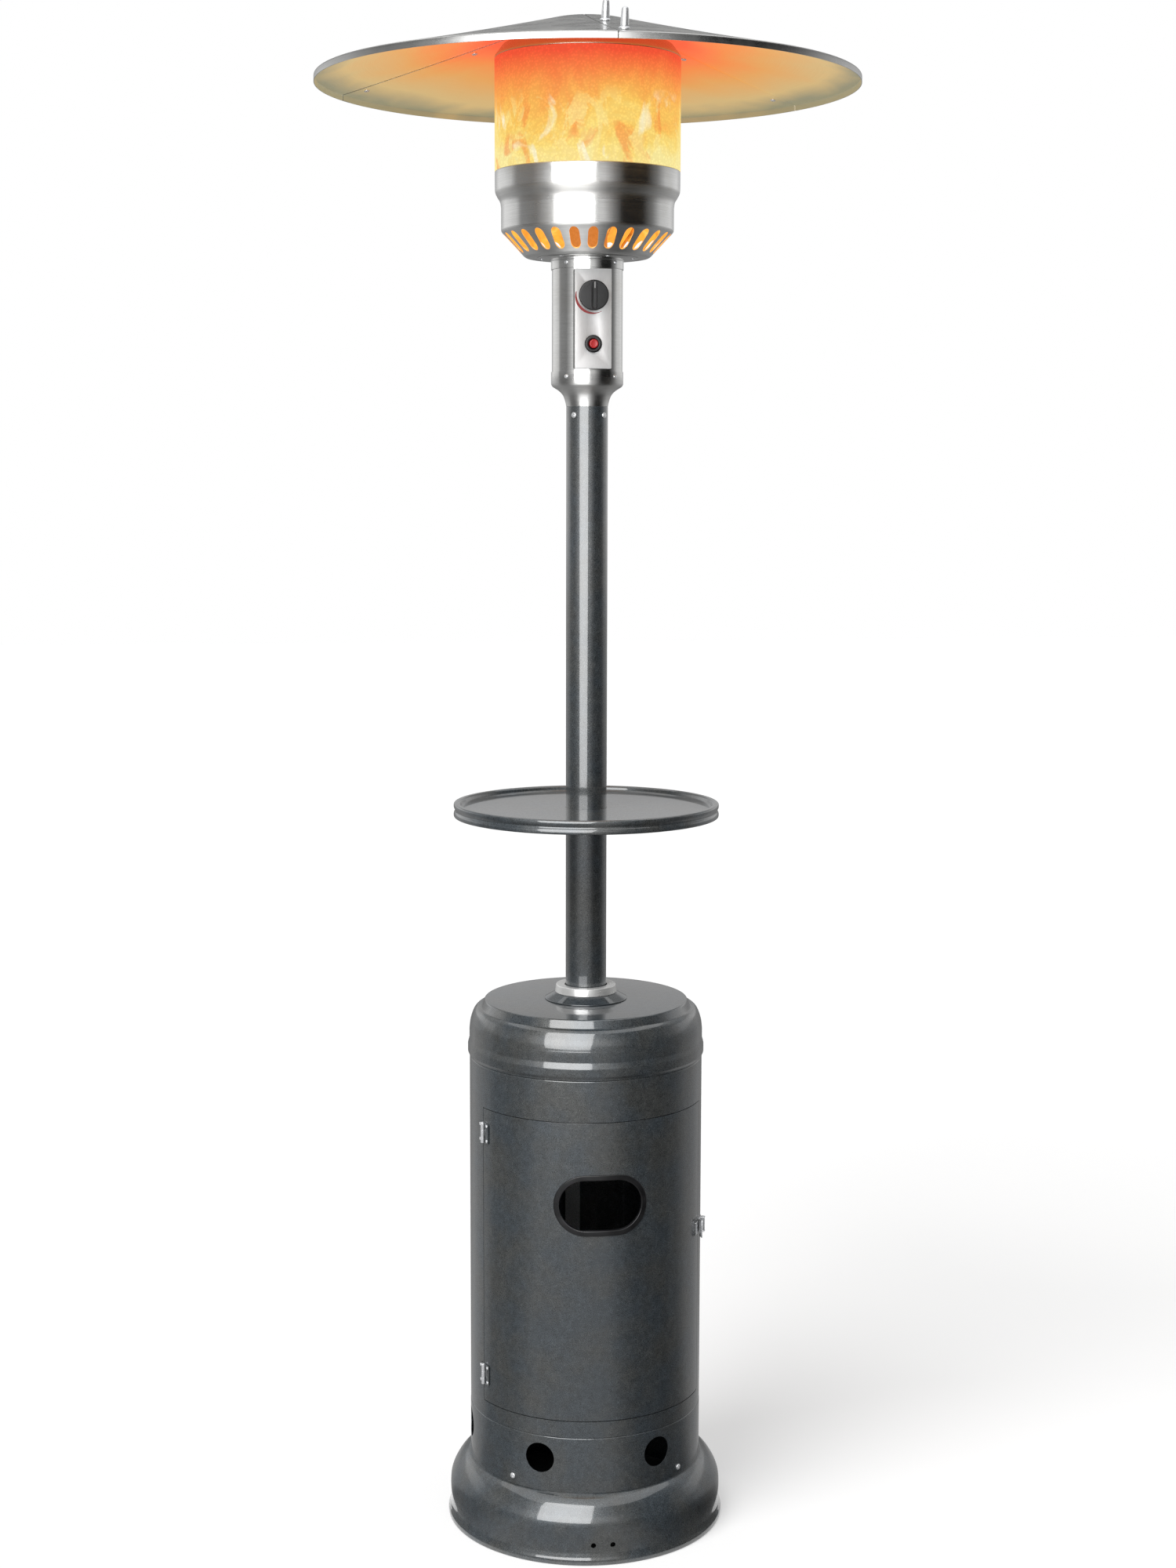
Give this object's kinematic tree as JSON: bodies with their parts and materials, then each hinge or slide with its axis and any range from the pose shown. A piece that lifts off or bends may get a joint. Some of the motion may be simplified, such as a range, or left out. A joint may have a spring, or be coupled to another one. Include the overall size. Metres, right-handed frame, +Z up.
{
  "type": "propane patio heater",
  "caption": "Free-standing gas patio heater: round housing with a curved door, post with a round table, burner head with a glowing screen, and a wide panelled hood.",
  "frame": {"origin": "middle of the underside of the base", "axes": "+Z up along the post, -Y to the front where the door and the knob face"},
  "size_m": [0.813, 0.816, 2.3231],
  "materials": {
    "paint": "glossy hammertone",
    "floor_paint": "matt",
    "steel": "brushed",
    "polished": "polished",
    "zinc": "zinc plated",
    "iron": "cast",
    "brass": "machined",
    "black_plastic": "satin",
    "red_plastic": "gloss",
    "hot_steel": "glowing perforated",
    "plate": "satin white",
    "ceramic": "glazed ceramic"
  },
  "bodies": {
    "frame": {"base_floor": "floor_paint", "base_screw_1": "zinc", "base_screw_2": "zinc", "base_screw_3": "zinc", "base_screw_4": "zinc", "base_shell": "paint", "burner": "iron", "burner_plate": "steel", "burner_tube": "brass", "control_front_shell": "polished", "control_plate": "plate", "control_rear_shell": "polished", "emitter_cap": "steel", "emitter_screen": "hot_steel", "gas_inlet": "brass", "gas_line": "zinc", "gas_valve": "brass", "head_bowl": "steel", "head_neck": "polished", "hinge_leaf_fixed_lower": "zinc", "hinge_leaf_fixed_upper": "zinc", "hinge_pin_lower": "zinc", "hinge_pin_upper": "zinc", "hood_panel_1": "steel", "hood_panel_2": "steel", "hood_panel_3": "steel", "hood_plate": "steel", "hood_stud_1": "zinc", "hood_stud_2": "zinc", "hood_stud_3": "zinc", "hood_stud_4": "zinc", "hood_stud_5": "zinc", "hood_stud_6": "zinc", "housing_shell": "paint", "igniter_body": "black_plastic", "latch_bracket": "zinc", "latch_pin": "zinc", "lower_ring": "paint", "pilot_tube": "brass", "post": "paint", "post_adapter": "polished", "post_collar": "polished", "post_foot": "paint", "spark_electrode": "ceramic", "support_frame": "zinc", "table": "paint", "table_hub": "paint", "thermocouple": "brass", "tilt_switch": "black_plastic", "top_cap": "paint"},
    "door": {"door": "paint", "door_grip_trim": "black_plastic", "hinge_leaf_door_lower": "zinc", "hinge_leaf_door_upper": "zinc", "latch_catch": "zinc"},
    "latch": {"latch_lever": "zinc"},
    "valve_push": {"valve_plunger": "brass"},
    "knob": {"control_knob": "black_plastic", "valve_stem": "zinc"},
    "button": {"igniter_button": "red_plastic"}
  },
  "joints": [
    {"name": "door_hinge", "type": "hinge", "parent": "frame", "child": "door", "pos_m": [-0.17021, -0.07401, 0.2147], "axis": [0, 0, -1], "range_deg": [0, 120]},
    {"name": "latch_pivot", "type": "hinge", "parent": "frame", "child": "latch", "pos_m": [0.17918, -0.05822, 0.4807], "axis": [0, 0, 1], "range_deg": [0, 100]},
    {"name": "knob_push", "type": "slide", "parent": "frame", "child": "valve_push", "axis": [0, 1, 0], "range_m": [0, 0.003], "stiffness_N_per_m": 1500},
    {"name": "knob_turn", "type": "hinge", "parent": "valve_push", "child": "knob", "pos_m": [0, -0.072, 1.915], "axis": [0, -1, 0], "range_deg": [0, 120]},
    {"name": "button_push", "type": "slide", "parent": "frame", "child": "button", "axis": [0, 1, 0], "range_m": [0, 0.005], "stiffness_N_per_m": 1000}
  ]
}
